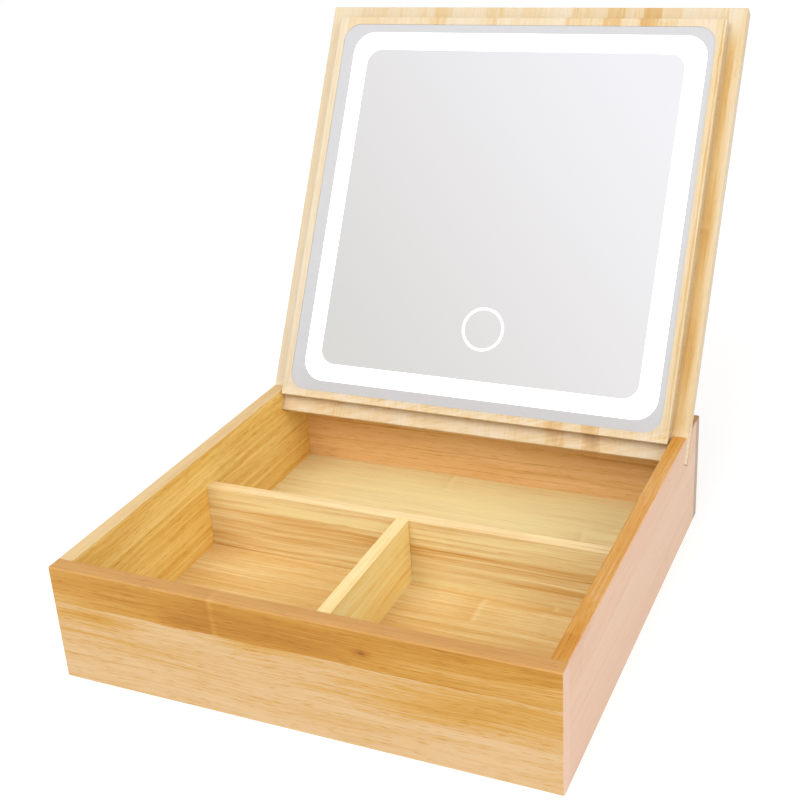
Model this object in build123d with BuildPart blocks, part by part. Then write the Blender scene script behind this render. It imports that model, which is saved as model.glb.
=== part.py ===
from build123d import *

import os
from math import cos, radians, sin, tan

# Square bamboo make-up box with a lit mirror in its lift-off lid. The lid stands in slanted slots in the
# side walls. The origin is the middle of the box's underside. X runs to the right, Y to the back, Z up.
# Every size is in millimetres.

# The box
BOX_W = 250.0  # outside width
BOX_D = 250.0  # outside depth
WALL_H = 61.0  # height of the four walls
WALL_T = 8.0  # thickness of the four walls
ARRIS = 0.8  # rounding of the outer edges
INNER_ARRIS = 0.5  # rounding of the side walls' inner top edges
BOTTOM_T = 5.0  # thickness of the bottom panel
REBATE = 4.0  # how far the bottom panel reaches under each wall
GLUE_FIT = 0.1  # gap round a glued joint
DIVIDER_T = 7.0  # thickness of both dividers
DIVIDER_TOP = 41.0  # height of the dividers' top edges above the table
LONG_DIVIDER_Y = 3.0  # middle of the side-to-side divider
SHORT_DIVIDER_X = 0.0  # middle of the front-to-back divider
HOUSING = 3.0  # depth of the grooves that hold the dividers' ends in the walls
CROSS_HOUSING = 2.5  # depth of the groove in the long divider
TONGUE_T = 2.6  # thickness of the loose tongue in each corner
TONGUE_IN_FACE = 3.0  # how far it enters the front or rear wall
TONGUE_IN_END = 6.0  # how far it enters the side wall's end
TONGUE_STOP = 9.0  # wood left over and under it

# How the lid stands in the box
LID_LEAN = 30.0  # degrees back from upright
SLOT_FROM_REAR = 29.7  # from the rear wall's outside to the slot's front edge, along the rim
SLOT_DEPTH = 14.3  # how far the lid goes in, along its slant
LID_PLAY = 0.3  # gap round the lid in its slots, and under it

# The lid's bamboo panel
LID_T = 9.0  # thickness of the margin that lies on the rim
FIELD_T = 7.0  # how far the raised field stands out of the margin
FIELD_PLAY = 1.0  # gap between the field and the walls when the lid is closed
FIELD_ARRIS = 0.5
FIELD_RIM = 4.5  # wood left round the glass
HOLLOW_DEPTH = 7.3  # from the ledge under the glass to the hollow's floor
LEDGE = 3.5  # width of the ledge that carries the glass

# The glass and its tape
GLASS_T = 3.0
GLASS_FIT = 0.2  # gap round the glass
GLASS_SINK = 0.3  # how far the glass lies below the wood
GLASS_R = 10.0  # corner radius
GLASS_BEVEL = 0.4
TAPE_T = 0.4
BAND_INSET = 5.0  # from the glass's edge to the frosted band
BAND_W = 10.5  # width of the frosted band

# The moulded tray and the diffuser behind the band
TRAY_WALL = 1.2
TRAY_FIT = 0.3  # gap between the tray and the hollow
DIFFUSER_T = 2.0
DIFFUSER_GAP = 0.1  # between the diffuser and the glass
DIFFUSER_STEP = 0.4  # how far the tray's walls stand out beyond the diffuser
BOSS_D = 4.6
BOSS_H = 2.0
NOTCH_W = 6.0  # openings for wires in the tray's walls
NOTCH_H = 2.2
TRAY_SCREW_EDGE = 8.0  # from the tray's inner wall to a fixing screw

# The light strips
STRIP_W = 8.0
STRIP_T = 0.3
CHIP_W = 2.8
CHIP_L = 3.5
CHIP_T = 0.8
CHIP_PITCH = 11.9
STRIP_END = 3.0  # bare end of the light channel past a strip
STRIP_CORNER_GAP = 0.8  # between strips that meet at a corner

# Screws
SCREW_FIT = 0.05
TRAY_SCREW_D = 2.0
TRAY_SCREW_HEAD_D = 4.4
TRAY_SCREW_HEAD_T = 1.2
TRAY_SCREW_L = 4.2  # below the head
BOARD_SCREW_D = 1.6
BOARD_SCREW_HEAD_D = 3.4
BOARD_SCREW_HEAD_T = 1.2
BOARD_SCREW_L = 3.2

# The electronics: the board to the left and the battery to the right, at the bottom of the lid
BOARD_W, BOARD_T = 50.0, 1.6
BOARD_FROM_SCREW = 2.8  # from the tray screw's middle to the board's side
BOARD_HOLE_EDGE = 3.5  # from the board's edges to its screws
BOARD_TOP_EDGE = 0.7  # from the board's upper edge to its highest plug
BOARD_LOW_EDGE = 6.5  # from the board's lower edge to its lowest plug
CONNECTOR_D, CONNECTOR_T = 5.0, 2.2
BATTERY_PLUG_DOWN = 10.0  # from the board's upper edge to the battery's plug
BATTERY_W, BATTERY_L, BATTERY_T = 66.0, 48.0, 4.4
BATTERY_CLEAR = 1.5  # from the tray screw's head to the battery
BATTERY_R = 1.8
BATTERY_PAD_EDGE = 3.0  # how far the battery reaches past its pad
BATTERY_PAD_T = 0.5
TOUCH_UP = 59.7  # height of the touch ring above the lid's lower edge
TOUCH_D, TOUCH_T = 26.0, 1.2
PAD_SIZE = 18.0
PAD_CLEAR = 8.0  # from the battery to the foam pads above it

# The charging socket in the lid's left edge
PORT_UP = 65.0  # height of the socket above the lid's lower edge
PORT_FROM_FACE = 4.0  # from the margin's face to the socket's middle
PORT_SLOT_W = 12.0
PORT_SLOT_R = 1.2
BEZEL_W, BEZEL_H, BEZEL_T = 16.0, 6.4, 0.8
BEZEL_FIT = 0.1
SHELL_W, SHELL_H, SHELL_L, SHELL_WALL = 8.94, 3.26, 7.35, 0.3
SHELL_SET_BACK = 0.4  # from the lid's edge to the socket's mouth
TONGUE_W, TONGUE_T, TONGUE_L = 6.7, 0.7, 5.4
CHARGE_BOARD_W, CHARGE_BOARD_L, CHARGE_BOARD_T = 9.2, 12.5, 0.8
CHARGE_BOARD_SET_BACK = 1.0  # from the socket's mouth to its board

# Flat leads of two or three wires side by side
LEAD_T = 1.1
PIN_PITCH = 1.6  # between the wires of a lead, and the pins of a plug
LEAD_GAP = 0.05  # between a lead and what it lies on
BEND_SHARE = 0.4  # how much of the shorter run beside it a lead's bend may take

# What follows from these sizes
INNER_W = BOX_W - 2 * WALL_T
INNER_D = BOX_D - 2 * WALL_T
DIVIDER_H = DIVIDER_TOP - BOTTOM_T
WALL_MID_X = (BOX_W - WALL_T) / 2  # middle of a side wall's thickness
LID_W, LID_L = BOX_W, BOX_D
FIELD_W = INNER_W - 2 * FIELD_PLAY
FIELD_L = INNER_D - 2 * FIELD_PLAY
SEAT_W, SEAT_L = FIELD_W - 2 * FIELD_RIM, FIELD_L - 2 * FIELD_RIM
GLASS_W, GLASS_L = SEAT_W - 2 * GLASS_FIT, SEAT_L - 2 * GLASS_FIT
HOLLOW_W, HOLLOW_L = SEAT_W - 2 * LEDGE, SEAT_L - 2 * LEDGE
HOLLOW_R = GLASS_R - LEDGE + GLASS_FIT
TRAY_W, TRAY_L = HOLLOW_W - 2 * TRAY_FIT, HOLLOW_L - 2 * TRAY_FIT
BAY_W = GLASS_W - 2 * (BAND_INSET + BAND_W)  # outside of the tray's inner wall
BAY_L = GLASS_L - 2 * (BAND_INSET + BAND_W)
BAY_R = 8.0

# Heights in the lid, measured forwards from the margin's face
GLASS_FRONT = FIELD_T - GLASS_SINK
GLASS_BACK = GLASS_FRONT - GLASS_T
LEDGE_FACE = GLASS_BACK - TAPE_T
HOLLOW_FLOOR = LEDGE_FACE - HOLLOW_DEPTH
TRAY_FLOOR = HOLLOW_FLOOR + TRAY_WALL
DIFFUSER_BACK = GLASS_BACK - DIFFUSER_GAP - DIFFUSER_T
STRIP_TOP = TRAY_FLOOR + STRIP_T
BOARD_BACK = TRAY_FLOOR + BOSS_H
BOARD_TOP = BOARD_BACK + BOARD_T
TOUCH_V = TOUCH_UP - LID_L / 2
TOUCH_BACK = GLASS_BACK - DIFFUSER_GAP - TOUCH_T
PORT_V = PORT_UP - LID_L / 2
SHELL_BASE = -PORT_FROM_FACE - SHELL_H / 2
PORT_SLOT_H = SHELL_H + 2 * CHARGE_BOARD_T
PORT_SLOT_L = (LID_W - HOLLOW_W) / 2 + 1
FLOOR_LEAD = TRAY_FLOOR + LEAD_T / 2 + LEAD_GAP  # middle of a lead on the tray
STRIP_LEAD = STRIP_TOP + LEAD_T / 2 + LEAD_GAP  # middle of a lead on a light strip
BOARD_LEAD = BOARD_TOP + CONNECTOR_T / 2  # middle of a lead at a plug

# The lid stands with its margin's face through this plane, whose origin is the lid's middle
UP = Vector(0, sin(radians(LID_LEAN)), cos(radians(LID_LEAN)))
OUT = Vector(0, -cos(radians(LID_LEAN)), sin(radians(LID_LEAN)))
RIM_POINT = Vector(0, BOX_D / 2 - SLOT_FROM_REAR, WALL_H)
LID_FACE = Plane(origin=RIM_POINT + UP * (LID_L / 2 - SLOT_DEPTH), x_dir=(1, 0, 0), z_dir=OUT)
PORT_FACE = Plane(
    origin=LID_FACE.from_local_coords((-LID_W / 2, PORT_V, -PORT_FROM_FACE)), x_dir=UP, z_dir=(-1, 0, 0)
)

os.makedirs("parts", exist_ok=True)


def save(piece, name):
    """Labels a finished piece and writes it."""
    piece.part.label = name
    export_step(piece.part, f"parts/{name}.step")


def cut_box(low, high):
    """Takes a box, given by its lowest and highest corners, out of the part being built."""
    with Locations([(Vector(*low) + Vector(*high)) * 0.5]):
        Box(*(Vector(*high) - Vector(*low)), mode=Mode.SUBTRACT)


def cut_bottom_rebate():
    """Takes the bottom panel's place out of a wall."""
    half_w = INNER_W / 2 + REBATE + GLUE_FIT
    half_d = INNER_D / 2 + REBATE + GLUE_FIT
    cut_box((-half_w, -half_d, 0), (half_w, half_d, BOTTOM_T))


def corner_tongue(side, end, gap=0.0, mode=Mode.ADD):
    """The loose tongue between a side wall and the front or rear wall, or with a gap, its groove."""
    y_ends = sorted((end * (INNER_D / 2 + TONGUE_IN_FACE + gap), end * (INNER_D / 2 - TONGUE_IN_END - gap)))
    with BuildSketch(Plane.XY.offset(BOTTOM_T + TONGUE_STOP - gap)) as outline:
        with Locations((side * WALL_MID_X, sum(y_ends) / 2)):
            Rectangle(TONGUE_T + 2 * gap, y_ends[1] - y_ends[0])
    extrude(outline.sketch, amount=WALL_H - BOTTOM_T - 2 * TONGUE_STOP + 2 * gap, mode=mode)


def on_lid(height):
    """The plane that many millimetres in front of the lid's margin."""
    return LID_FACE.offset(height)


def lid_block(x, v, w_from, w_to, size_x, size_v, radius=0.0, mode=Mode.ADD):
    """A block in the lid, by its middle x and v, its back and front heights, and its size."""
    with BuildSketch(on_lid(w_from)) as outline:
        with Locations((x, v)):
            if radius:
                RectangleRounded(size_x, size_v, radius)
            else:
                Rectangle(size_x, size_v)
    extrude(outline.sketch, amount=w_to - w_from, mode=mode)


def lid_disc(x, v, w_from, w_to, radius, mode=Mode.ADD):
    """A disc or round hole in the lid, square to its face."""
    with BuildSketch(on_lid(w_from)) as outline:
        with Locations((x, v)):
            Circle(radius)
    extrude(outline.sketch, amount=w_to - w_from, mode=mode)


def lid_ring(w_from, w_to, outer, outer_r, inner, inner_r):
    """A square ring in the lid, between two rounded rectangles."""
    with BuildSketch(on_lid(w_from)) as outline:
        RectangleRounded(*outer, outer_r)
        RectangleRounded(*inner, inner_r, mode=Mode.SUBTRACT)
    extrude(outline.sketch, amount=w_to - w_from)


def lead(v, wires, points):
    """A flat lead that runs at v, through points given as x and height, with bends as large as its runs allow."""
    corners = [LID_FACE.from_local_coords((x, v, w)) for x, w in points]
    bends = []
    for before, corner, after in zip(corners, corners[1:], corners[2:]):
        turn = radians((corner - before).get_angle(after - corner))
        shorter = min((corner - before).length, (after - corner).length)
        bends.append(BEND_SHARE * shorter / tan(turn / 2))
    with BuildLine() as route:
        FilletPolyline(*corners, radius=bends)
    with BuildSketch(Plane(origin=route.line @ 0, x_dir=UP, z_dir=route.line % 0)) as section:
        Rectangle(wires * PIN_PITCH, LEAD_T)
    sweep(section.sketch, path=route.line)


def side_by_side(count, gap):
    """Offsets of that many evenly spaced pieces from their middle."""
    return [(i - (count - 1) / 2) * gap for i in range(count)]


# Front and rear walls: full width, over the ends of the side walls
for end, name in ((-1, "front_wall"), (1, "rear_wall")):
    with BuildPart() as face_wall:
        with BuildSketch():
            with Locations((0, end * (BOX_D - WALL_T) / 2)):
                Rectangle(BOX_W, WALL_T)
        extrude(amount=WALL_H)
        outside = face_wall.faces().sort_by(Axis.Y)[0 if end < 0 else -1]
        top = face_wall.faces().sort_by(Axis.Z)[-1]
        rounded = outside.edges().filter_by(Axis.Z) + top.edges().filter_by(Axis.Y)
        rounded += outside.edges().filter_by(Axis.X).sort_by(Axis.Z)[-1:]
        fillet(rounded, ARRIS)
        cut_bottom_rebate()
        for side in (-1, 1):
            corner_tongue(side, end, GLUE_FIT, Mode.SUBTRACT)
        if end < 0:
            half = DIVIDER_T / 2 + GLUE_FIT
            cut_box(
                (SHORT_DIVIDER_X - half, -INNER_D / 2 - HOUSING, 0),
                (SHORT_DIVIDER_X + half, -INNER_D / 2 + 1, DIVIDER_TOP + GLUE_FIT),
            )
    save(face_wall, name)

# Side walls: between the front and rear walls, each with the slanted slot that holds the lid
for side, name in ((-1, "left_wall"), (1, "right_wall")):
    with BuildPart() as side_wall:
        with BuildSketch():
            with Locations((side * WALL_MID_X, 0)):
                Rectangle(WALL_T, INNER_D)
        extrude(amount=WALL_H)
        top_edges = side_wall.faces().sort_by(Axis.Z)[-1].edges().filter_by(Axis.Y).sort_by(Axis.X)
        outer_edge, inner_edge = (top_edges[0], top_edges[1]) if side < 0 else (top_edges[1], top_edges[0])
        fillet(outer_edge, ARRIS)
        fillet(inner_edge, INNER_ARRIS)
        slot_floor = -LID_L / 2 - LID_PLAY
        slot_length = 3 * SLOT_DEPTH
        lid_block(
            side * WALL_MID_X,
            slot_floor + slot_length / 2,
            -LID_T - LID_PLAY,
            LID_PLAY,
            2 * WALL_T,
            slot_length,
            mode=Mode.SUBTRACT,
        )
        cut_bottom_rebate()
        inside = side * INNER_W / 2
        housing_x = sorted((inside - side, inside + side * HOUSING))
        half = DIVIDER_T / 2 + GLUE_FIT
        cut_box(
            (housing_x[0], LONG_DIVIDER_Y - half, 0),
            (housing_x[1], LONG_DIVIDER_Y + half, DIVIDER_TOP + GLUE_FIT),
        )
        for end in (-1, 1):
            corner_tongue(side, end, GLUE_FIT, Mode.SUBTRACT)
    save(side_wall, name)

# Loose tongues in the corner joints
with BuildPart() as corner_tongues:
    for side in (-1, 1):
        for end in (-1, 1):
            corner_tongue(side, end)
save(corner_tongues, "corner_tongues")

# Bottom panel, flush with the walls' lower edges
with BuildPart() as bottom_panel:
    with BuildSketch():
        Rectangle(INNER_W + 2 * REBATE, INNER_D + 2 * REBATE)
    extrude(amount=BOTTOM_T)
save(bottom_panel, "bottom_panel")

# Long divider, with the groove for the short one in its front
with BuildPart() as long_divider:
    with BuildSketch(Plane.XY.offset(BOTTOM_T)):
        with Locations((0, LONG_DIVIDER_Y)):
            Rectangle(INNER_W + 2 * (HOUSING - GLUE_FIT), DIVIDER_T)
    extrude(amount=DIVIDER_H)
    half = DIVIDER_T / 2 + GLUE_FIT
    front = LONG_DIVIDER_Y - DIVIDER_T / 2
    cut_box(
        (SHORT_DIVIDER_X - half, front - 1, BOTTOM_T),
        (SHORT_DIVIDER_X + half, front + CROSS_HOUSING, DIVIDER_TOP),
    )
save(long_divider, "long_divider")

# Short divider, from the front wall to the long divider
with BuildPart() as short_divider:
    y_from = -INNER_D / 2 - HOUSING + GLUE_FIT
    y_to = LONG_DIVIDER_Y - DIVIDER_T / 2 + CROSS_HOUSING - GLUE_FIT
    with BuildSketch(Plane.XY.offset(BOTTOM_T)):
        with Locations((SHORT_DIVIDER_X, (y_from + y_to) / 2)):
            Rectangle(DIVIDER_T, y_to - y_from)
    extrude(amount=DIVIDER_H)
save(short_divider, "short_divider")

# Places of the tray's screws, and of what lies in the bay between them
screw_x = BAY_W / 2 - TRAY_WALL - TRAY_SCREW_EDGE
screw_v = BAY_L / 2 - TRAY_WALL - TRAY_SCREW_EDGE
tray_screw_places = [(x, v) for x in (-screw_x, screw_x) for v in (-screw_v, screw_v)]
battery_x = screw_x - BATTERY_W / 2
battery_v = -screw_v + TRAY_SCREW_HEAD_D / 2 + BATTERY_CLEAR + BATTERY_L / 2
charge_v = PORT_V
light_v = PORT_V + CHIP_PITCH
board_left = -screw_x + BOARD_FROM_SCREW
board_right = board_left + BOARD_W
board_x = (board_left + board_right) / 2
board_high = light_v + 1.5 * PIN_PITCH + BOARD_TOP_EDGE
board_low = min(charge_v - 1.5 * PIN_PITCH, TOUCH_V - 2 * PIN_PITCH) - BOARD_LOW_EDGE
board_v = (board_low + board_high) / 2
battery_plug_v = board_high - BATTERY_PLUG_DOWN
board_screw_places = [
    (board_left + BOARD_HOLE_EDGE, board_low + BOARD_HOLE_EDGE),
    (board_right - BOARD_HOLE_EDGE, board_high - BOARD_HOLE_EDGE),
]
pad_low = max(battery_v + BATTERY_L / 2, board_high) + PAD_CLEAR + PAD_SIZE / 2
pad_high = (pad_low + BAY_L / 2) / 2
pad_places = [(x, v) for x in (-BAY_W * 0.3, 0, BAY_W * 0.3) for v in (pad_low, pad_high)]

# Lid panel: margin and raised field in one piece, hollowed from the front
with BuildPart() as lid_panel:
    lid_block(0, 0, -LID_T, 0, LID_W, LID_L)
    fillet(lid_panel.edges(), ARRIS)
    lid_block(0, 0, 0, FIELD_T, FIELD_W, FIELD_L)
    field_face = lid_panel.faces().sort_by(Axis((0, 0, 0), OUT))[-1]
    fillet(field_face.edges(), FIELD_ARRIS)
    lid_block(0, 0, LEDGE_FACE, FIELD_T, SEAT_W, SEAT_L, GLASS_R + GLASS_FIT, Mode.SUBTRACT)
    lid_block(0, 0, HOLLOW_FLOOR, LEDGE_FACE, HOLLOW_W, HOLLOW_L, HOLLOW_R, Mode.SUBTRACT)
    with BuildSketch(PORT_FACE):
        RectangleRounded(PORT_SLOT_W, PORT_SLOT_H, PORT_SLOT_R)
    extrude(amount=-PORT_SLOT_L, mode=Mode.SUBTRACT)
    with BuildSketch(PORT_FACE):
        SlotOverall(BEZEL_W + 2 * BEZEL_FIT, BEZEL_H + 2 * BEZEL_FIT)
    extrude(amount=-BEZEL_T, mode=Mode.SUBTRACT)
    for x, v in tray_screw_places:
        tip = TRAY_FLOOR - TRAY_SCREW_L
        lid_disc(x, v, tip, HOLLOW_FLOOR, TRAY_SCREW_D / 2 + SCREW_FIT, Mode.SUBTRACT)
save(lid_panel, "lid_panel")

# Mirror glass, with its front edge bevelled
with BuildPart() as mirror_glass:
    lid_block(0, 0, GLASS_BACK, GLASS_FRONT, GLASS_W, GLASS_L, GLASS_R)
    glass_face = mirror_glass.faces().sort_by(Axis((0, 0, 0), OUT))[-1]
    chamfer(glass_face.edges(), GLASS_BEVEL)
save(mirror_glass, "mirror_glass")

# Tape between the glass and its ledge
with BuildPart() as glass_tape:
    lid_ring(LEDGE_FACE, GLASS_BACK, (GLASS_W, GLASS_L), GLASS_R, (HOLLOW_W, HOLLOW_L), HOLLOW_R)
save(glass_tape, "glass_tape")

# Moulded tray: a floor, the two walls of the light channel, and the board's bosses
with BuildPart() as light_tray:
    lid_block(0, 0, HOLLOW_FLOOR, TRAY_FLOOR, TRAY_W, TRAY_L, HOLLOW_R - TRAY_FIT)
    lid_ring(
        TRAY_FLOOR,
        DIFFUSER_BACK,
        (TRAY_W, TRAY_L),
        HOLLOW_R - TRAY_FIT,
        (TRAY_W - 2 * TRAY_WALL, TRAY_L - 2 * TRAY_WALL),
        HOLLOW_R - TRAY_FIT - TRAY_WALL,
    )
    lid_ring(
        TRAY_FLOOR,
        DIFFUSER_BACK,
        (BAY_W, BAY_L),
        BAY_R,
        (BAY_W - 2 * TRAY_WALL, BAY_L - 2 * TRAY_WALL),
        BAY_R - TRAY_WALL,
    )
    for v in (charge_v, light_v):
        lid_block(-BAY_W / 2, v, TRAY_FLOOR, TRAY_FLOOR + NOTCH_H, 4 * TRAY_WALL, NOTCH_W, mode=Mode.SUBTRACT)
    notch_from = TRAY_FLOOR - TRAY_WALL / 2
    lid_block(-TRAY_W / 2, charge_v, notch_from, TRAY_FLOOR + NOTCH_H, 4 * TRAY_WALL, NOTCH_W, mode=Mode.SUBTRACT)
    for x, v in board_screw_places:
        lid_disc(x, v, TRAY_FLOOR, BOARD_BACK, BOSS_D / 2)
        lid_disc(x, v, HOLLOW_FLOOR, BOARD_BACK, BOARD_SCREW_D / 2 + SCREW_FIT, Mode.SUBTRACT)
    for x, v in tray_screw_places:
        lid_disc(x, v, HOLLOW_FLOOR, TRAY_FLOOR, TRAY_SCREW_D / 2 + SCREW_FIT, Mode.SUBTRACT)
save(light_tray, "light_tray")

# Opal ring that lies on the tray's walls, behind the frosted band
with BuildPart() as diffuser_ring:
    inset = 2 * DIFFUSER_STEP
    lid_ring(
        DIFFUSER_BACK,
        DIFFUSER_BACK + DIFFUSER_T,
        (TRAY_W - inset, TRAY_L - inset),
        HOLLOW_R - TRAY_FIT - DIFFUSER_STEP,
        (BAY_W - 2 * TRAY_WALL + inset, BAY_L - 2 * TRAY_WALL + inset),
        BAY_R - TRAY_WALL + DIFFUSER_STEP,
    )
save(diffuser_ring, "diffuser_ring")

# Light strips along the four sides of the channel, and their chips
channel_x = (BAY_W / 2 + TRAY_W / 2 - TRAY_WALL) / 2
channel_v = (BAY_L / 2 + TRAY_L / 2 - TRAY_WALL) / 2
level_length = TRAY_W - 2 * TRAY_WALL - 2 * STRIP_END
upright_length = 2 * (channel_v - STRIP_W / 2 - STRIP_CORNER_GAP)
strips = {
    "led_strip_top": (0, channel_v, level_length, STRIP_W),
    "led_strip_bottom": (0, -channel_v, level_length, STRIP_W),
    "led_strip_left": (-channel_x, 0, STRIP_W, upright_length),
    "led_strip_right": (channel_x, 0, STRIP_W, upright_length),
}
chip_clearance = CHIP_L / 2 + PIN_PITCH + CHIP_L / 10  # from a chip's middle to a lead's
chip_places = []
for name, (x, v, size_x, size_v) in strips.items():
    with BuildPart() as strip:
        lid_block(x, v, TRAY_FLOOR, STRIP_TOP, size_x, size_v)
    save(strip, name)
    level = size_x > size_v
    count = int((max(size_x, size_v) - CHIP_L) // CHIP_PITCH)
    count -= count % 2
    for step in side_by_side(count, CHIP_PITCH):
        if level:
            chip_places.append((x + step, v, CHIP_L, CHIP_W))
        elif x > 0 or min(abs(step - charge_v), abs(step - light_v)) > chip_clearance:
            chip_places.append((x, v + step, CHIP_W, CHIP_L))
with BuildPart() as led_chips:
    for x, v, size_x, size_v in chip_places:
        lid_block(x, v, STRIP_TOP, STRIP_TOP + CHIP_T, size_x, size_v)
save(led_chips, "led_chips")

# Screws that hold the tray to the wood, and the board to the tray
with BuildPart() as tray_screws:
    for x, v in tray_screw_places:
        lid_disc(x, v, TRAY_FLOOR, TRAY_FLOOR + TRAY_SCREW_HEAD_T, TRAY_SCREW_HEAD_D / 2)
        lid_disc(x, v, TRAY_FLOOR - TRAY_SCREW_L, TRAY_FLOOR, TRAY_SCREW_D / 2)
save(tray_screws, "tray_screws")
with BuildPart() as board_screws:
    for x, v in board_screw_places:
        lid_disc(x, v, BOARD_TOP, BOARD_TOP + BOARD_SCREW_HEAD_T, BOARD_SCREW_HEAD_D / 2)
        lid_disc(x, v, BOARD_TOP - BOARD_SCREW_L, BOARD_TOP, BOARD_SCREW_D / 2)
save(board_screws, "board_screws")

# Driver board, its parts and its plugs
with BuildPart() as driver_board:
    lid_block(board_x, board_v, BOARD_BACK, BOARD_TOP, BOARD_W, board_high - board_low, 1.0)
    for x, v in board_screw_places:
        lid_disc(x, v, BOARD_BACK, BOARD_TOP, BOARD_SCREW_D / 2 + SCREW_FIT, Mode.SUBTRACT)
save(driver_board, "driver_board")
driver_parts = (  # x and v from the board's middle, then size and height
    (-6.0, 6.0, 6.0, 5.0, 1.5),
    (6.0, 6.5, 5.0, 5.0, 2.1),
    (-4.0, -6.0, 4.0, 4.0, 0.9),
    (4.5, -5.0, 3.0, 1.6, 1.1),
    (4.5, -8.5, 3.0, 1.6, 1.1),
    (14.0, 0.5, 2.0, 1.25, 0.7),
    (-14.0, 0.5, 2.0, 1.25, 0.7),
)
with BuildPart() as driver_chips:
    for x, v, size_x, size_v, height in driver_parts:
        lid_block(board_x + x, board_v + v, BOARD_TOP, BOARD_TOP + height, size_x, size_v)
save(driver_chips, "driver_chips")
plugs = (  # x of the side where the wires enter, which way the plug lies from it, v, and wires
    (board_right - 1, -1, battery_plug_v, 2),
    (board_right - 1, -1, TOUCH_V, 3),
    (board_left + 1, 1, light_v, 2),
    (board_left + 1, 1, charge_v, 2),
)
with BuildPart() as driver_connectors:
    for x, way, v, wires in plugs:
        width = (wires + 1) * PIN_PITCH
        lid_block(x + way * CONNECTOR_D / 2, v, BOARD_TOP, BOARD_TOP + CONNECTOR_T, CONNECTOR_D, width)
save(driver_connectors, "driver_connectors")

# Flat rechargeable cell on its pad
with BuildPart() as battery_pad:
    pad_top = TRAY_FLOOR + BATTERY_PAD_T
    pad_w, pad_l = BATTERY_W - 2 * BATTERY_PAD_EDGE, BATTERY_L - 2 * BATTERY_PAD_EDGE
    lid_block(battery_x, battery_v, TRAY_FLOOR, pad_top, pad_w, pad_l)
save(battery_pad, "battery_pad")
with BuildPart() as battery_cell:
    lid_block(battery_x, battery_v, pad_top, pad_top + BATTERY_T, BATTERY_W, BATTERY_L)
    fillet(battery_cell.edges().filter_by(Axis.X), BATTERY_R)
save(battery_cell, "battery_cell")

# Touch sensor on the glass's back, behind the ring
with BuildPart() as touch_sensor:
    lid_disc(0, TOUCH_V, TOUCH_BACK, TOUCH_BACK + TOUCH_T, TOUCH_D / 2)
save(touch_sensor, "touch_sensor")

# Foam pads that back the middle of the glass
with BuildPart() as foam_pads:
    for x, v in pad_places:
        lid_block(x, v, TRAY_FLOOR, GLASS_BACK - DIFFUSER_GAP, PAD_SIZE, PAD_SIZE)
save(foam_pads, "foam_pads")

# Charging socket: its board, metal shell, tongue, and the frame round its mouth
shell_mouth = -LID_W / 2 + SHELL_SET_BACK
with BuildPart() as charge_board:
    lid_block(
        shell_mouth + CHARGE_BOARD_SET_BACK + CHARGE_BOARD_L / 2,
        PORT_V,
        SHELL_BASE - CHARGE_BOARD_T,
        SHELL_BASE,
        CHARGE_BOARD_L,
        CHARGE_BOARD_W,
    )
save(charge_board, "charge_board")
with BuildPart() as usb_shell:
    with BuildSketch(PORT_FACE.offset(-SHELL_SET_BACK)):
        SlotOverall(SHELL_W, SHELL_H)
    extrude(amount=-SHELL_L)
    with BuildSketch(PORT_FACE.offset(-SHELL_SET_BACK)):
        SlotOverall(SHELL_W - 2 * SHELL_WALL, SHELL_H - 2 * SHELL_WALL)
    extrude(amount=-(SHELL_L - SHELL_WALL), mode=Mode.SUBTRACT)
save(usb_shell, "usb_shell")
with BuildPart() as usb_tongue:
    with BuildSketch(PORT_FACE.offset(-SHELL_SET_BACK - SHELL_L + SHELL_WALL)):
        Rectangle(TONGUE_W, TONGUE_T)
    extrude(amount=TONGUE_L)
save(usb_tongue, "usb_tongue")
with BuildPart() as port_bezel:
    with BuildSketch(PORT_FACE):
        SlotOverall(BEZEL_W, BEZEL_H)
        SlotOverall(SHELL_W + 2 * BEZEL_FIT, SHELL_H + 2 * BEZEL_FIT, mode=Mode.SUBTRACT)
    extrude(amount=-BEZEL_T)
save(port_bezel, "port_bezel")

# Leads from the board to the battery, the touch sensor, the light strips and the charging socket
with BuildPart() as battery_leads:
    battery_edge = battery_x - BATTERY_W / 2
    battery_mid = pad_top + BATTERY_T / 2
    plug_x = board_right - 1
    run = battery_edge - plug_x
    battery_route = [
        (battery_edge, battery_mid),
        (battery_edge - 0.1 * run, battery_mid),
        (battery_edge - 0.22 * run, FLOOR_LEAD),
        (plug_x + 0.24 * run, FLOOR_LEAD),
        (plug_x + 0.11 * run, BOARD_LEAD),
        (plug_x, BOARD_LEAD),
    ]
    lead(battery_plug_v, 2, battery_route)
save(battery_leads, "battery_leads")
with BuildPart() as touch_leads:
    touch_start = 5 - TOUCH_D / 2
    touch_height = TOUCH_BACK - LEAD_T / 2 - LEAD_GAP
    run = touch_start - plug_x
    touch_route = [
        (touch_start, touch_height),
        (touch_start - 0.35 * run, touch_height),
        (plug_x + 0.25 * run, BOARD_LEAD),
        (plug_x, BOARD_LEAD),
    ]
    lead(TOUCH_V, 3, touch_route)
save(touch_leads, "touch_leads")
with BuildPart() as led_leads:
    light_route = [
        (board_left + 1, BOARD_LEAD),
        (board_left - 2, BOARD_LEAD),
        (board_left - 7, STRIP_LEAD),
        (-channel_x, STRIP_LEAD),
    ]
    lead(light_v, 2, light_route)
save(led_leads, "led_leads")
with BuildPart() as charge_leads:
    board_end = shell_mouth + CHARGE_BOARD_SET_BACK + CHARGE_BOARD_L
    charge_height = SHELL_BASE + LEAD_T / 2 + LEAD_GAP
    charge_route = [
        (board_left + 1, BOARD_LEAD),
        (board_left - 2, BOARD_LEAD),
        (board_left - 7, STRIP_LEAD),
        (-channel_x - STRIP_W / 2 - 0.2, STRIP_LEAD),
        (-HOLLOW_W / 2 - 0.3, STRIP_LEAD - 0.6),
        (board_end - 0.2, charge_height),
        (board_end - 3.0, charge_height),
    ]
    lead(charge_v, 2, charge_route)
save(charge_leads, "charge_leads")
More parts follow.
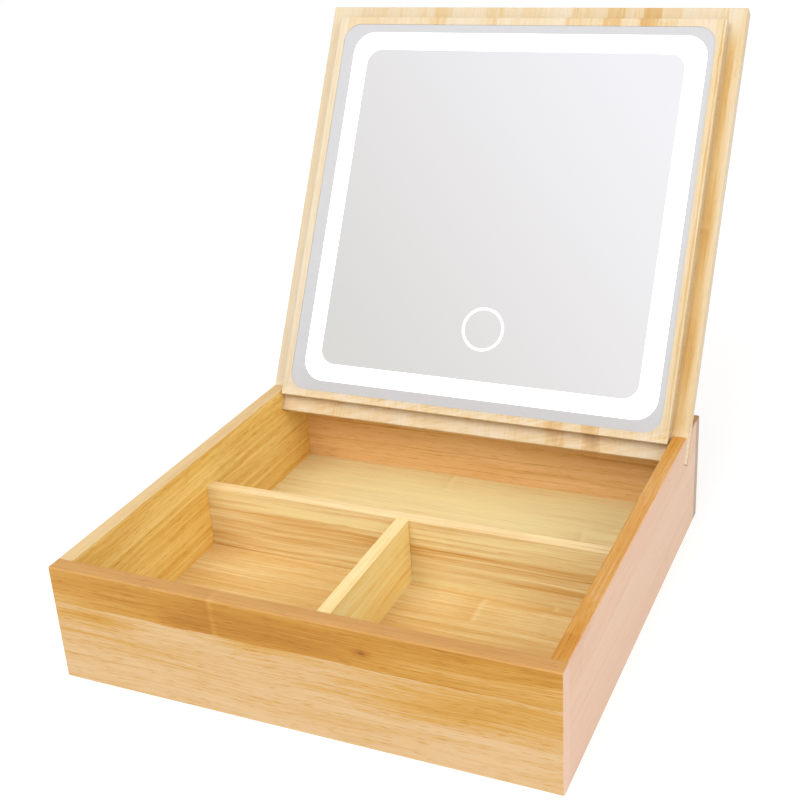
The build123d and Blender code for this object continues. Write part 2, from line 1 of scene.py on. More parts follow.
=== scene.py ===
import random
from math import cos, pi, radians, sin

import bmesh
import bpy
from mathutils import Matrix, Vector


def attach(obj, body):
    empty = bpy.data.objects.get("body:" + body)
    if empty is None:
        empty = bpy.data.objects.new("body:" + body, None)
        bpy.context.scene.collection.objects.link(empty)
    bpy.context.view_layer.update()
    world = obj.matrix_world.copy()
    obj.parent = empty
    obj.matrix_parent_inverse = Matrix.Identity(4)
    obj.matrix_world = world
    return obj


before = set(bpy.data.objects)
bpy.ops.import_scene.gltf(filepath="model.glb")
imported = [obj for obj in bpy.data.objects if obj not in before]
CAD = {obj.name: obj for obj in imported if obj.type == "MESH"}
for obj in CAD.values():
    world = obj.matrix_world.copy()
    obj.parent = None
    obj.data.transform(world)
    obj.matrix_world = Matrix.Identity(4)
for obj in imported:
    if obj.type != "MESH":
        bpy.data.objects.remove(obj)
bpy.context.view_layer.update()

MM = 0.001

# How the lid lies. It leans back from upright, and the front of its glass is this far out from its margin.
LID_LEAN = 30.0
GLASS_FRONT = 6.7
UP_LID = Vector((0, sin(radians(LID_LEAN)), cos(radians(LID_LEAN))))
OUT_OF_LID = Vector((0, -cos(radians(LID_LEAN)), sin(radians(LID_LEAN))))
UPWARDS = Vector((0, 0, 1))
TO_THE_RIGHT = Vector((1, 0, 0))


def reach(node, way):
    """How far a CAD node goes each way along a direction, in millimetres."""
    along = [corner.co.dot(way) / MM for corner in CAD[node].data.vertices]
    return min(along), max(along)


RIM_HEIGHT = reach("left_wall", UPWARDS)[1]
DIVIDER_HEIGHT = reach("long_divider", UPWARDS)[1]
HALF_BOX = reach("right_wall", TO_THE_RIGHT)[1]
glass_foot, glass_top = reach("mirror_glass", UP_LID)
glass_face = reach("mirror_glass", OUT_OF_LID)[1]
LID_PLACE = UP_LID * (glass_foot + glass_top) / 2 + OUT_OF_LID * (glass_face - GLASS_FRONT)

# How the grain of each board lies, as a place in millimetres and a turn in degrees. Turned this way, a
# board's X runs along its grain, its Y across the strips that it is glued from, and its Z through it.
GRAIN_ALONG_BOX = ((0, 0, 0), (90, 0, 0))
GRAIN_INTO_BOX = ((0, 0, 0), (90, 0, 90))
GRAIN_OF_BOTTOM = ((0, 0, 0), (0, 0, 0))
GRAIN_UP_LID = (tuple(LID_PLACE), (0, LID_LEAN - 90, 90))


def srgb(red, green, blue):
    """A colour as a paint card gives it, for a shader."""
    card = [part / 255 for part in (red, green, blue)]
    return tuple(c / 12.92 if c <= 0.04045 else ((c + 0.055) / 1.055) ** 2.4 for c in card) + (1.0,)


class Finish:
    """A material, with short ways to add what feeds its shader."""

    def __init__(self, name, **sockets):
        self.material = bpy.data.materials.new(name)
        self.material.use_nodes = True
        self.tree = self.material.node_tree
        self.shader = self.tree.nodes["Principled BSDF"]
        self.give(self.shader, sockets)
        self.object_place = self.add("TexCoord").outputs["Object"]

    def give(self, node, sockets):
        """Feeds a node's sockets, each with a constant or with what another socket gives."""
        for name, value in sockets.items():
            socket = node.inputs[name]
            if isinstance(value, bpy.types.NodeSocket):
                self.tree.links.new(value, socket)
            else:
                socket.default_value = value

    def add(self, kind, sockets=None, **settings):
        node = self.tree.nodes.new("ShaderNode" + kind)
        for name, value in settings.items():
            setattr(node, name, value)
        self.give(node, sockets or {})
        return node

    def work(self, operation, first, second):
        return self.add("Math", {0: first, 1: second}, operation=operation).outputs[0]

    def times(self, first, second):
        return self.work("MULTIPLY", first, second)

    def less(self, first, second):
        return self.work("SUBTRACT", first, second)

    def plus(self, *values):
        total = values[0]
        for value in values[1:]:
            total = self.work("ADD", total, value)
        return total

    def placed(self, place=(0, 0, 0), turn=(0, 0, 0)):
        """Object coordinates in millimetres, from a place in millimetres, turned in degrees."""
        node = self.add("Mapping", {"Vector": self.object_place}, vector_type="TEXTURE")
        node.inputs["Location"].default_value = [p * MM for p in place]
        node.inputs["Rotation"].default_value = [radians(t) for t in turn]
        node.inputs["Scale"].default_value = (MM, MM, MM)
        return node.outputs[0]

    def noise(self, vector, waves, detail=2.0, rough=0.5):
        """Noise from about -0.5 to 0.5, with that many waves to one unit of the vector each way."""
        stretched = self.add("VectorMath", {0: vector, 1: waves}, operation="MULTIPLY").outputs[0]
        sockets = {"Vector": stretched, "Scale": 1.0, "Detail": detail, "Roughness": rough}
        return self.less(self.add("TexNoise", sockets).outputs[0], 0.5)

    def share(self, value, start, end):
        """How much of the way from start to end the value has gone."""
        return self.add("MapRange", {"Value": value, "From Min": start, "From Max": end}).outputs[0]

    def step(self, value, start, end, low=0.0, high=1.0):
        """Smoothly from low to high while the value goes from start to end."""
        sockets = {"Value": value, "From Min": start, "From Max": end, "To Min": low, "To Max": high}
        return self.add("MapRange", sockets, interpolation_type="SMOOTHSTEP").outputs[0]

    def ramp(self, value, stops, how="LINEAR"):
        """Stops are (place from 0 to 1, number or colour)."""
        node = self.add("ValToRGB", {"Fac": value})
        node.color_ramp.interpolation = how
        elements = node.color_ramp.elements
        for _ in stops[2:]:
            elements.new(0.5)
        for element, (place, shade) in zip(elements, stops):
            element.position = place
            element.color = shade if isinstance(shade, tuple) else (shade, shade, shade, 1)
        return node.outputs[0]

    def blend(self, amount, first, second):
        """From the first colour to the second. A mix node's colours are its sockets 6 and 7."""
        node = self.add("Mix", {"Factor": amount}, data_type="RGBA")
        self.give(node, {6: first, 7: second})
        return node.outputs[2]

    def surface(self, colour, rough, height=None, depth=0.0):
        """Feeds the shader. The depth of the relief is in millimetres."""
        self.give(self.shader, {"Base Color": colour, "Roughness": rough})
        if height is not None:
            bump = self.add("Bump", {"Height": height, "Strength": 1.0, "Distance": depth * MM})
            self.give(self.shader, {"Normal": bump.outputs[0]})


WOOD_GLOSS = 0.012
BARE_DARKEST = 0.004
BARE_PALEST = 0.97


def wood(light, *shades):
    """Bamboo from its palest to the dark wood by a knuckle. The card gives it as it looks in the studio, in
    that much red, green and blue light and with a little white gloss on it."""
    stops = []
    for place, *card in shades:
        bare = [max(c - WOOD_GLOSS, BARE_DARKEST) / share for c, share in zip(srgb(*card), light)]
        stops.append((place, (*[min(c, BARE_PALEST) for c in bare], 1.0)))
    return stops


# How much red, green and blue light falls on the wood outside, on the walls and the floor inside, and on
# the lid. Inside the box the light is yellow from the box's own walls.
OPEN_LIGHT = (1.42, 1.44, 1.36)
WALL_LIGHT = (0.90, 0.79, 0.60)
FLOOR_LIGHT = (1.08, 0.94, 0.70)
LID_LIGHT = (1.47, 1.54, 1.54)

HONEY = wood(
    OPEN_LIGHT,
    (0.00, 244, 216, 172),
    (0.24, 237, 204, 152),
    (0.36, 231, 192, 135),
    (0.45, 223, 173, 88),
    (0.54, 212, 155, 60),
    (0.63, 199, 136, 46),
    (0.82, 168, 106, 34),
    (1.00, 118, 68, 24),
)
GOLD = wood(
    WALL_LIGHT,
    (0.00, 244, 214, 138),
    (0.24, 236, 197, 112),
    (0.40, 227, 178, 88),
    (0.52, 214, 158, 68),
    (0.66, 196, 136, 52),
    (0.84, 164, 106, 38),
    (1.00, 112, 66, 24),
)
# Darker and redder than GOLD, for the rear wall: partly its own tone, partly painted shade from the lid.
SHADED_AMBER = wood(
    WALL_LIGHT,
    (0.00, 240, 202, 142),
    (0.24, 228, 178, 114),
    (0.40, 216, 161, 94),
    (0.52, 201, 142, 70),
    (0.66, 181, 118, 50),
    (0.84, 150, 92, 36),
    (1.00, 106, 62, 26),
)
STRAW = wood(
    FLOOR_LIGHT,
    (0.00, 252, 224, 144),
    (0.24, 243, 212, 140),
    (0.38, 232, 192, 122),
    (0.50, 221, 169, 94),
    (0.66, 204, 146, 66),
    (0.84, 168, 110, 44),
    (1.00, 116, 68, 26),
)
CREAM = wood(
    LID_LIGHT,
    (0.00, 252, 244, 224),
    (0.20, 246, 232, 200),
    (0.34, 242, 217, 166),
    (0.48, 232, 195, 130),
    (0.62, 221, 177, 104),
    (0.80, 198, 148, 82),
    (1.00, 140, 92, 48),
)


def strips_of(seed, low, high, width, shade, spread):
    """A board's glued strips, as (where it starts, how dark, where its knuckle is), in millimetres."""
    chance = random.Random(seed)
    strips = []
    start = low
    while start < high:
        strips.append((start, shade + chance.uniform(-spread, spread), chance.uniform(-170, 170)))
        start += width * chance.uniform(0.94, 1.06)
    return strips


# What is the same on every board, in millimetres
LAST_STRIP = 30.0  # the width of a board's last strip, or more
KNUCKLE_RANGE = 400.0  # the length of board that knuckles lie in, half of it each way from the middle
KNUCKLE_REACH = 18.0  # how far from a knuckle the wood is darker or paler
STRIP_SHIFT = 900.0  # how far a strip of shade 1 has its fibres moved along the grain
SAW_SLANT = 34  # degrees between saw marks and the grain
WOOD_RELIEF = 0.05  # the depth of the fibres


def strip_at(finish, lie, across, strips):
    """How dark the strip at each place is, and where its knuckle is. Strips meet in a ragged line."""
    ragged = finish.times(finish.noise(lie, (0.05, 1.1, 1.1)), 2.4)
    low, high = strips[0][0], strips[-1][0] + LAST_STRIP
    share = finish.share(finish.plus(across, ragged), low, high)
    shades = [((start - low) / (high - low), shade) for start, shade, _ in strips]
    places = [((start - low) / (high - low), place / KNUCKLE_RANGE + 0.5) for start, _, place in strips]
    knuckle = finish.less(finish.ramp(share, places, "CONSTANT"), 0.5)
    return finish.ramp(share, shades, "CONSTANT"), finish.times(knuckle, KNUCKLE_RANGE)


def knuckle_line(finish, lie, along, knuckle, fine):
    """A bent pale line across a strip, with darker wood before it."""
    bent = finish.times(finish.noise(lie, (0.01, 0.07, 0.07), 1.0), 6.0)
    apart = finish.plus(finish.less(along, knuckle), bent, finish.times(fine, 1.6))
    shades = [(0.0, 0.5), (0.25, 0.52), (0.42, 0.57), (0.47, 0.59), (0.53, 0.43), (0.60, 0.52), (1.0, 0.5)]
    line = finish.ramp(finish.share(apart, -KNUCKLE_REACH, KNUCKLE_REACH), shades)
    return finish.less(line, 0.5)


def saw_marks(finish, grain, along, start, full, strength):
    """Marks slanted to the grain, from where along it they start to where they are full."""
    place, (turn_x, turn_y, turn_z) = grain
    slanted = finish.placed(place, (turn_x, turn_y, turn_z + SAW_SLANT))
    marks = finish.noise(slanted, (0.6, 0.07, 0.07), 2.0, 0.7)
    return finish.times(marks, finish.step(along, start, full, 0.0, strength))


def cloud(finish, lie, spot, size, amount):
    """A soft darker or paler place on a board: where its middle is, how far it reaches, along and across."""
    vector = finish.add("Mapping", {"Vector": lie}, vector_type="TEXTURE")
    vector.inputs["Location"].default_value = (*spot, 0)
    vector.inputs["Scale"].default_value = (*size, 1e6)
    far = finish.add("VectorMath", {0: vector.outputs[0]}, operation="LENGTH").outputs["Value"]
    return finish.times(finish.step(far, 1.0, 0.0), amount)


def bamboo(
    name,
    grain,
    paint,
    strips,
    clouds=(),
    skins=(),
    fibre=1.0,
    dashes=1.0,
    streaks=1.0,
    curl=5.0,
    stripes=0.2,
    saw=None,
):
    """Bamboo boards glued from strips. Grain is how the board lies. A skin tints one side of the board, with
    a colour and an amount. Fibre, dashes, streaks and stripes are how strong each of them is, curl is how
    far the fibres wander, and saw is where saw marks start along the grain, where they are full, and their
    strength."""
    finish = Finish(name)
    finish.shader.inputs["Specular IOR Level"].default_value = 0.35
    lie = finish.placed(*grain)
    along, across, through = finish.add("SeparateXYZ", {"Vector": lie}).outputs
    shade, knuckle = strip_at(finish, lie, across, strips)

    # Each strip has its own fibres, which wander a little
    wander = finish.times(finish.noise(lie, (0.012, 0.03, 0.03), 1.0), curl)
    shifted = finish.plus(along, finish.times(shade, STRIP_SHIFT))
    fibres = {"X": shifted, "Y": finish.plus(across, wander), "Z": through}
    moved = finish.add("CombineXYZ", fibres).outputs[0]
    coarse = finish.noise(moved, (0.008, 0.30, 0.30), 2.0, 0.6)
    fine = finish.noise(moved, (0.024, 1.2, 1.2), 3.0, 0.7)
    dash = finish.step(finish.noise(moved, (0.11, 2.4, 2.4), 1.0), 0.10, 0.22)
    streak = finish.step(finish.noise(moved, (0.007, 0.55, 0.55), 1.0), 0.10, 0.22)
    patch = finish.noise(moved, (0.012, 0.05, 0.05))

    dark = finish.plus(
        shade,
        finish.times(coarse, stripes * fibre),
        finish.times(fine, 0.24 * fibre),
        finish.times(dash, 0.07 * dashes),
        finish.times(streak, 0.06 * streaks),
        finish.times(patch, 0.18),
        finish.times(knuckle_line(finish, lie, along, knuckle, fine), 0.7),
    )
    if saw:
        dark = finish.plus(dark, saw_marks(finish, grain, along, *saw))
    for spot, size, amount in clouds:
        dark = finish.plus(dark, cloud(finish, lie, spot, size, amount))
    colour = finish.ramp(dark, paint)

    sides = finish.add("SeparateXYZ", {"Vector": finish.placed()}).outputs
    for (axis, start, full), tint, amount in skins:
        colour = finish.blend(finish.step(sides[axis], start, full, 0.0, amount), colour, tint)

    rough = finish.plus(0.46, finish.times(fine, 0.25), finish.times(dash, 0.12))
    height = finish.plus(finish.times(fine, -0.6), finish.times(coarse, -0.5), finish.times(dash, -0.5))
    finish.surface(colour, rough, height, WOOD_RELIEF)
    return finish.material


def wear(node, material):
    """Gives a CAD node its material."""
    mesh = CAD[node].data
    if not mesh.materials:
        mesh.materials.append(material)
    for place in range(len(mesh.materials)):
        mesh.materials[place] = material


# The sides that skins tint, as (object axis, where along it the tint starts, where it is full)
RIM = ("Z", RIM_HEIGHT - 0.8, RIM_HEIGHT - 0.1)
FRONT_RIM = ("Z", RIM_HEIGHT - 1.0, RIM_HEIGHT - 0.6)
DIVIDER_TOP = ("Z", DIVIDER_HEIGHT - 0.8, DIVIDER_HEIGHT - 0.1)
LEFT_OUTSIDE = ("X", 1.2 - HALF_BOX, 0.2 - HALF_BOX)
RIGHT_OUTSIDE = ("X", HALF_BOX - 1.2, HALF_BOX - 0.2)
FRONT_WALL_END = ("X", HALF_BOX - 0.6, HALF_BOX - 0.05)
REAR_WALL_END = ("X", HALF_BOX - 1.4, HALF_BOX - 0.3)
LID_FOOT = ("Z", RIM_HEIGHT + 5, RIM_HEIGHT - 1)

# The four walls. The front's top strip is the darkest, with a knuckle left of its middle. The right wall is
# seen at a slant, and its outside is painted paler and pinker than the rest, as a painted sheen of the white
# studio. A board's strips are (where it starts, how dark, where its knuckle is), and its clouds (middle,
# reach, amount), along and across the grain.
# Painted sheen: the white studio seen at a slant on the right face, painted pale pink into the wood.
PAINTED_SHEEN_PINK = srgb(216, 179, 157)
# Tinted on the rear wall's end, where it shows on the right face, to go with its painted sheen.
GREY_REAR_END = srgb(160, 138, 124)
wear(
    "front_wall",
    bamboo(
        "bamboo_front",
        GRAIN_ALONG_BOX,
        HONEY,
        [(0.0, 0.35, -150), (20.5, 0.37, 170), (42.0, 0.53, -38)],
        clouds=[
            ((-10, 50), (80, 14), 0.16),
            ((-90, 54), (60, 12), 0.04),
            ((-54, 46), (18, 8), 0.10),
            ((-128, 44), (30, 5), -0.05),
            ((118, 54), (90, 20), -0.06),
            ((66, 31), (100, 13), 0.09),
            ((110, 38), (84, 12), 0.13),
            ((112, 45), (84, 7), -0.07),
            ((100, 57), (100, 11), 0.12),
            ((-104, 37), (40, 7), 0.13),
            ((-112, 45), (34, 5), -0.06),
            ((35.7, 49.9), (7, 3.6), 0.12),
            ((36.2, 49.7), (2.6, 1.4), 0.16),
        ],
        # The front wall's end on the right face gets the same painted sheen.
        skins=[(FRONT_RIM, srgb(204, 157, 106), 0.42), (FRONT_WALL_END, PAINTED_SHEEN_PINK, 0.9)],
        curl=7.0,
        fibre=1.7,
        stripes=0.10,
        streaks=0.5,
        dashes=2.2,
    ),
)
wear(
    "rear_wall",
    bamboo(
        "bamboo_rear",
        GRAIN_ALONG_BOX,
        SHADED_AMBER,
        strips_of(4, 0, 61, 20.5, 0.33, 0.04),
        # Painted shadow: the rear wall is darker at its top, under the lid's foot.
        clouds=[((0, 64), (400, 36), 0.25)],
        skins=[(REAR_WALL_END, GREY_REAR_END, 0.9)],
        dashes=3.0,
        streaks=2.4,
        fibre=1.4,
    ),
)
wear(
    "left_wall",
    bamboo(
        "bamboo_left",
        GRAIN_INTO_BOX,
        GOLD,
        [(0.0, 0.40, 180), (20.5, 0.37, -180), (40.8, 0.36, 150)],
        # The rim's pale pinkish tint is partly its own tone and partly painted sheen.
        skins=[(RIM, srgb(200, 170, 134), 0.7), (LEFT_OUTSIDE, srgb(194, 156, 108), 0.7)],
        dashes=3.4,
        fibre=1.6,
        stripes=0.4,
    ),
)
wear(
    "right_wall",
    bamboo(
        "bamboo_right",
        GRAIN_INTO_BOX,
        HONEY,
        [(0.0, 0.36, 60), (20.5, 0.33, 180), (42.0, 0.46, -98)],
        clouds=[((-105, 58), (26, 8), 0.10)],
        # Painted sheen: the right wall's outside is tinted pale pink.
        skins=[(RIM, srgb(210, 138, 52), 0.35), (RIGHT_OUTSIDE, PAINTED_SHEEN_PINK, 0.72)],
        fibre=1.9,
        streaks=2.2,
        dashes=2.2,
        curl=11.0,
    ),
)
wear(
    "bottom_panel",
    bamboo(
        "bamboo_bottom",
        GRAIN_OF_BOTTOM,
        STRAW,
        strips_of(3, -125, 125, 20.0, 0.46, 0.03),
        # Painted light: the floor is paler towards the back, where the lid's shade falls on it.
        clouds=[((0, 96), (420, 72), -0.27)],
        fibre=1.7,
        dashes=1.6,
    ),
)
wear(
    "long_divider",
    bamboo(
        "bamboo_long_divider",
        GRAIN_ALONG_BOX,
        STRAW,
        [(0.0, 0.36, 180), (18.0, 0.39, -180), (31.0, 0.31, 120)],
        skins=[(DIVIDER_TOP, srgb(228, 196, 146), 0.5)],
        streaks=3.2,
        fibre=1.6,
        stripes=0.5,
    ),
)
wear(
    "short_divider",
    bamboo(
        "bamboo_short_divider",
        GRAIN_INTO_BOX,
        GOLD,
        [(0.0, 0.20, 180), (20.5, 0.15, -180)],
        skins=[(DIVIDER_TOP, srgb(214, 182, 138), 0.5)],
        dashes=2.4,
        streaks=1.8,
        fibre=1.8,
        stripes=0.4,
    ),
)
tongue_strips = strips_of(7, -125, 125, 25, 0.45, 0.05)
wear("corner_tongues", bamboo("bamboo_tongues", GRAIN_OF_BOTTOM, GOLD, tongue_strips))

# The lid is glued from narrow strips on edge, so their shades change every 10.5 mm. Some are dark. They are
# counted from the right side, where the margin has a few of its own.
LID_STRIP = 10.5
LID_FIRST = -111.0
LID_STRIPS = 24
LID_SEED = 100
LID_MARGIN_STRIPS = [
    (-132.3, 0.34, 150),
    (-121.8, 0.42, 2),
    (-116.4, 0.30, 170),
    (-115.4, 0.42, 170),
    (-114.6, 0.26, 170),
]
LID_SHADES = {2: 0.30, 3: 0.47, 4: 0.27, 5: 0.43, 6: 0.28, 7: 0.30, 9: 0.22, 12: 0.31, 15: 0.33, 19: 0.29}


def lid_strips():
    """The margin's strips and then the rest, each with a seed of its own."""
    strips = list(LID_MARGIN_STRIPS)
    for count in range(LID_STRIPS):
        chance = random.Random(LID_SEED + count)
        shade = LID_SHADES.get(count, chance.uniform(0.18, 0.26))
        knuckle = chance.choice((-1, 1)) * chance.uniform(100, 190)
        strips.append((LID_FIRST + count * LID_STRIP, shade, knuckle))
    return strips


wear(
    "lid_panel",
    bamboo(
        "bamboo_lid",
        GRAIN_UP_LID,
        CREAM,
        lid_strips(),
        clouds=[
            ((0, -126), (160, 5), -0.16),
            ((74, -118.6), (52, 3.4), 0.16),
            ((2, -119.4), (50, 4.4), 0.20),
            ((-64, -120.0), (40, 4.8), 0.18),
            ((122, -119), (22, 7), -0.24),
            ((-119, -74), (9, 6), 0.32),
            ((-119, -52), (9, 8), 0.14),
            ((-119, 30), (9, 9), 0.12),
            ((-119, 82), (9, 14), 0.12),
        ],
        # Painted light: the lid's foot below the rims is tinted paler, against the raised field's shade.
        skins=[(LID_FOOT, srgb(246, 224, 186), 0.3)],
        dashes=1.6,
        fibre=1.25,
        saw=(-104, -113, 0.8),
    ),
)


# The mirror
def silvered_glass():
    """Silver behind clear glass with a painted reflection, greyer at the lower left, and faint wiping marks.
    """
    finish = Finish("silvered_glass", Metallic=1.0)
    lie = finish.placed(*GRAIN_UP_LID)
    along, across, _ = finish.add("SeparateXYZ", {"Vector": lie}).outputs
    # Painted reflection: the silver grows paler from the lower left to the upper right.
    painted_reflection_slope = finish.plus(finish.times(along, 0.0035), finish.times(across, -0.0030), 0.5)
    silver = [(0.0, srgb(229, 228, 225)), (0.5, srgb(241, 239, 240)), (1.0, srgb(250, 250, 254))]
    marks = finish.noise(lie, (0.02, 0.06, 0.02), 3.0)
    finish.surface(finish.ramp(painted_reflection_slope, silver), finish.step(marks, -0.2, 0.3, 0.02, 0.05))
    return finish.material


def frosting(name, colour, light):
    """The etched back of the glass where no silver is, seen through it."""
    finish = Finish(name)
    finish.shader.inputs["Coat Weight"].default_value = 1.0
    finish.shader.inputs["Coat Roughness"].default_value = 0.03
    finish.shader.inputs["Emission Color"].default_value = (1.0, 0.985, 0.97, 1.0)
    finish.shader.inputs["Emission Strength"].default_value = light
    lie = finish.placed(*GRAIN_UP_LID)
    etched = finish.noise(lie, (2.0, 2.0, 2.0))
    paler = tuple(min(c * 1.06, 1.0) for c in colour[:3]) + (1.0,)
    patchy = finish.blend(finish.step(etched, -0.3, 0.3), colour, paler)
    finish.surface(patchy, finish.step(etched, -0.3, 0.3, 0.5, 0.65))
    return finish.material


# The inlays, in millimetres on the lid's flat. The etched back of the glass is seen through it, so its marks
# lie a little to the right of their own places. Square outlines are (side, corner radius, shift).
INLAY_BACK = GLASS_FRONT - 0.05
INLAY_FRONT = GLASS_FRONT + 0.04
GLASS_EDGE = (222.9, 10.1, (0.0, 0.0))
BAND_OUTSIDE = (211.8, 12.5, (2.2, 0.6))
BAND_INSIDE = (191.0, 9.0, (1.35, 0.6))
TOUCH_MIDDLE = (4.1, -65.2)
TOUCH_OUTSIDE = 12.4
TOUCH_INSIDE = 11.1
CORNER_STEPS = 14
RING_STEPS = 96
SAME_POINT = 1e-5


def lid_turn():
    """From the lid's own flat, in millimetres, to where the lid is."""
    place = Matrix.Translation(LID_PLACE * MM)
    lean = Matrix.Rotation(radians(90 - LID_LEAN), 4, "X")
    return place @ lean @ Matrix.Scale(MM, 4)


def rounded_square(shape, side, radius, shift):
    """A square outline with round corners, as a face in a bmesh."""
    corners = bmesh.ops.create_grid(shape, x_segments=1, y_segments=1, size=side / 2)["verts"]
    bmesh.ops.translate(shape, verts=corners, vec=(*shift, INLAY_BACK))
    bmesh.ops.bevel(
        shape,
        geom=corners,
        offset=radius,
        offset_type="OFFSET",
        segments=CORNER_STEPS,
        profile=0.5,
        affect="VERTICES",
        material=-1,
    )


def finished(shape, name, material, body):
    """Makes a piece of a bmesh, puts it where the lid is and lets it ride."""
    bmesh.ops.remove_doubles(shape, verts=shape.verts, dist=SAME_POINT)
    bmesh.ops.recalc_face_normals(shape, faces=shape.faces)
    bmesh.ops.transform(shape, matrix=lid_turn(), verts=shape.verts)
    mesh = bpy.data.meshes.new(name)
    shape.to_mesh(mesh)
    shape.free()
    mesh.materials.append(material)
    piece = bpy.data.objects.new(name, mesh)
    bpy.context.scene.collection.objects.link(piece)
    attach(piece, body)


def square_inlay(name, outer, inner, material):
    """A thin square ring let into the front of the glass, between two outlines."""
    shape = bmesh.new()
    for side, radius, shift in (outer, inner):
        rounded_square(shape, side, radius, shift)
    bmesh.ops.delete(shape, geom=shape.faces[:], context="FACES_ONLY")
    ring = bmesh.ops.bridge_loops(shape, edges=shape.edges[:])["faces"]
    raised = bmesh.ops.extrude_face_region(shape, geom=ring)["geom"]
    front = [part for part in raised if isinstance(part, bmesh.types.BMVert)]
    bmesh.ops.translate(shape, verts=front, vec=(0, 0, INLAY_FRONT - INLAY_BACK))
    finished(shape, name, material, "lid")


def round_inlay(name, middle, outer, inner, material):
    """A thin round ring let into the front of the glass: its section, stood up and spun."""
    shape = bmesh.new()
    section = bmesh.ops.create_circle(shape, segments=4, radius=0.5 ** 0.5)["verts"]
    bmesh.ops.rotate(shape, verts=section, matrix=Matrix.Rotation(pi / 4, 3, "Z"))
    bmesh.ops.rotate(shape, verts=section, matrix=Matrix.Rotation(pi / 2, 3, "X"))
    bmesh.ops.scale(shape, verts=section, vec=(outer - inner, 1, INLAY_FRONT - INLAY_BACK))
    section_place = ((outer + inner) / 2, 0, (INLAY_FRONT + INLAY_BACK) / 2)
    bmesh.ops.translate(shape, verts=section, vec=section_place)
    outline = shape.verts[:] + shape.edges[:]
    bmesh.ops.spin(shape, geom=outline, axis=(0, 0, 1), angle=2 * pi, steps=RING_STEPS, use_merge=True)
    bmesh.ops.translate(shape, verts=shape.verts, vec=(*middle, 0))
    finished(shape, name, material, "lid")


wear("mirror_glass", silvered_glass())
lit = frosting("lit_band", srgb(250, 250, 250), 1.0)
plain = frosting("frosted_edge", srgb(181, 181, 183), 0.0)
square_inlay("glass_frosted_edge", GLASS_EDGE, BAND_OUTSIDE, plain)
square_inlay("glass_lit_band", BAND_OUTSIDE, BAND_INSIDE, lit)
round_inlay("glass_touch_ring", TOUCH_MIDDLE, TOUCH_OUTSIDE, TOUCH_INSIDE, lit)


# The inside of the lid
FINE_RELIEF = 0.02


def plastic(name, colour, rough, waves=2.4, clear=0.0):
    """Moulded plastic with a fine spark-eroded grain, of so many waves to a millimetre. Clear is how much of
    the light it lets through."""
    finish = Finish(name, Roughness=rough)
    finish.shader.inputs["Transmission Weight"].default_value = clear
    lie = finish.placed()
    grain = finish.noise(lie, (waves, waves, waves))
    flow = finish.noise(lie, (0.03, 0.02, 0.02))
    deep = tuple(c * 0.86 for c in colour[:3]) + (1.0,)
    shade = finish.blend(finish.step(finish.plus(grain, flow), -0.4, 0.4), deep, colour)
    finish.surface(shade, finish.step(grain, -0.3, 0.3, rough - 0.06, rough + 0.08), grain, FINE_RELIEF)
    return finish.material


def metal(name, colour, rough):
    """Plated metal with fine turning lines."""
    finish = Finish(name, Metallic=1.0, Roughness=rough)
    lines = finish.noise(finish.placed(*GRAIN_UP_LID), (6.0, 0.6, 6.0))
    dull = tuple(c * 0.7 for c in colour[:3]) + (1.0,)
    shade = finish.blend(finish.step(lines, -0.3, 0.3), dull, colour)
    finish.surface(shade, finish.step(lines, -0.3, 0.3, rough, rough + 0.15), lines, FINE_RELIEF)
    return finish.material


white_plastic = plastic("white_moulding", srgb(238, 238, 235), 0.42)
opal = plastic("opal_diffuser", srgb(246, 246, 243), 0.5, clear=0.15)
black_plastic = plastic("black_moulding", srgb(30, 30, 32), 0.38)
cream_plastic = plastic("cream_plug", srgb(233, 224, 200), 0.4)
chip_plastic = plastic("black_chip", srgb(24, 24, 26), 0.5)
strip_board = plastic("light_strip", srgb(240, 240, 236), 0.45)
green_board = plastic("green_board", srgb(22, 88, 52), 0.35)
foam = plastic("grey_foam", srgb(120, 122, 126), 0.85, waves=6.0)
tape = plastic("black_tape", srgb(34, 34, 36), 0.7)
foil = metal("battery_foil", srgb(196, 200, 206), 0.3)
zinc = metal("zinc_screw", srgb(205, 205, 200), 0.28)
phosphor = plastic("yellow_phosphor", srgb(248, 226, 120), 0.4)
black_wire = plastic("black_wire", srgb(28, 28, 30), 0.45)
red_wire = plastic("red_wire", srgb(176, 30, 28), 0.45)
white_wire = plastic("white_wire", srgb(236, 236, 232), 0.45)

for node, material in {
    "glass_tape": tape,
    "light_tray": white_plastic,
    "diffuser_ring": opal,
    "led_strip_top": strip_board,
    "led_strip_bottom": strip_board,
    "led_strip_left": strip_board,
    "led_strip_right": strip_board,
    "led_chips": phosphor,
    "tray_screws": zinc,
    "board_screws": zinc,
    "driver_board": green_board,
    "driver_chips": chip_plastic,
    "driver_connectors": cream_plastic,
    "battery_pad": foam,
    "battery_cell": foil,
    "touch_sensor": green_board,
    "foam_pads": foam,
    "charge_board": green_board,
    "usb_shell": zinc,
    "usb_tongue": black_plastic,
    "port_bezel": black_plastic,
    "battery_leads": black_wire,
    "touch_leads": white_wire,
    "led_leads": red_wire,
    "charge_leads": red_wire,
}.items():
    wear(node, material)


# Floor, light and camera. Their places and sizes are in metres.
FLOOR_RADIUS = 30.0
FLOOR_STEPS = 64
FLOOR_ROUGH = 0.9
FLOOR_GLOW = 0.56
LIGHT_AIM = Vector((0.0, 0.05, 0.08))
AIR_LIGHT = 0.71
AIR_TO_RIGHT = 0.10
AIR_TO_FRONT = 0.22
AIR_TO_TOP = 0.16


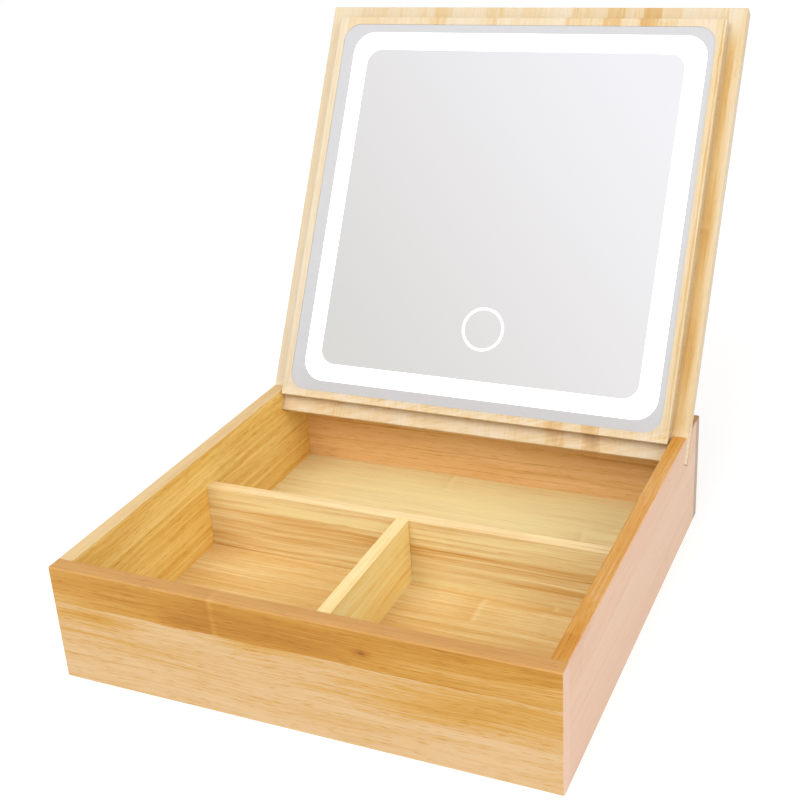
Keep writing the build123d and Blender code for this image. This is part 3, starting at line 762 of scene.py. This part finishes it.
def studio_floor():
    """A plain floor that glows a little, so that it stays pale under the box."""
    shape = bmesh.new()
    bmesh.ops.create_circle(shape, cap_ends=True, segments=FLOOR_STEPS, radius=FLOOR_RADIUS)
    mesh = bpy.data.meshes.new("floor")
    shape.to_mesh(mesh)
    shape.free()
    finish = Finish("pale_floor")
    finish.shader.inputs["Specular IOR Level"].default_value = 0.1
    finish.shader.inputs["Emission Color"].default_value = (1.0, 1.0, 1.0, 1.0)
    finish.shader.inputs["Emission Strength"].default_value = FLOOR_GLOW
    weave = finish.step(finish.noise(finish.object_place, (3.0, 3.0, 3.0)), -0.3, 0.3)
    finish.surface(finish.blend(weave, srgb(184, 184, 184), srgb(188, 188, 188)), FLOOR_ROUGH)
    mesh.materials.append(finish.material)
    floor = bpy.data.objects.new("floor", mesh)
    bpy.context.scene.collection.objects.link(floor)


def soft_light(name, place, size, power):
    """A wide round light that is aimed at the box and doesn't show in the mirror."""
    lamp = bpy.data.lights.new(name, "AREA")
    lamp.shape = "DISK"
    lamp.size = size
    lamp.energy = power
    light = bpy.data.objects.new(name, lamp)
    light.visible_glossy = False
    light.location = place
    light.rotation_euler = (LIGHT_AIM - Vector(place)).to_track_quat("-Z", "Y").to_euler()
    bpy.context.scene.collection.objects.link(light)


def studio_air():
    """A pale studio, a little brighter in front, overhead and to the right."""
    world = bpy.data.worlds.new("studio")
    bpy.context.scene.world = world
    world.use_nodes = True
    tree = world.node_tree
    way = tree.nodes.new("ShaderNodeTexCoord").outputs["Generated"]
    tilt = tree.nodes.new("ShaderNodeVectorMath")
    tilt.operation = "DOT_PRODUCT"
    tree.links.new(way, tilt.inputs[0])
    tilt.inputs[1].default_value = (AIR_TO_RIGHT, -AIR_TO_FRONT, AIR_TO_TOP)
    light = tree.nodes.new("ShaderNodeMath")
    tree.links.new(tilt.outputs["Value"], light.inputs[0])
    light.inputs[1].default_value = AIR_LIGHT
    air = tree.nodes["Background"]
    tree.links.new(light.outputs[0], air.inputs["Strength"])
    air.inputs["Color"].default_value = (1.0, 1.0, 1.0, 1.0)


studio_floor()
studio_air()
soft_light("key", (-0.35, -1.6, 1.9), 1.5, 30.0)
soft_light("fill", (1.5, -0.7, 1.2), 1.4, 10.0)

CAMERA_PLACE = Vector((0.2532, -0.5324, 0.3723))
CAMERA_RIGHT = Vector((0.91384, 0.40219, -0.05606))
CAMERA_UP = Vector((-0.11821, 0.39554, 0.91082))
lens = bpy.data.cameras.new("camera")
lens.lens = 58.97
lens.sensor_width = 36.0
lens.clip_start = 0.01
lens.clip_end = 100.0
camera = bpy.data.objects.new("camera", lens)
turn = Matrix((CAMERA_RIGHT, CAMERA_UP, CAMERA_RIGHT.cross(CAMERA_UP))).transposed()
camera.matrix_world = Matrix.Translation(CAMERA_PLACE) @ turn.to_4x4()
bpy.context.scene.collection.objects.link(camera)
bpy.context.scene.camera = camera
bpy.context.scene.view_settings.view_transform = "Standard"
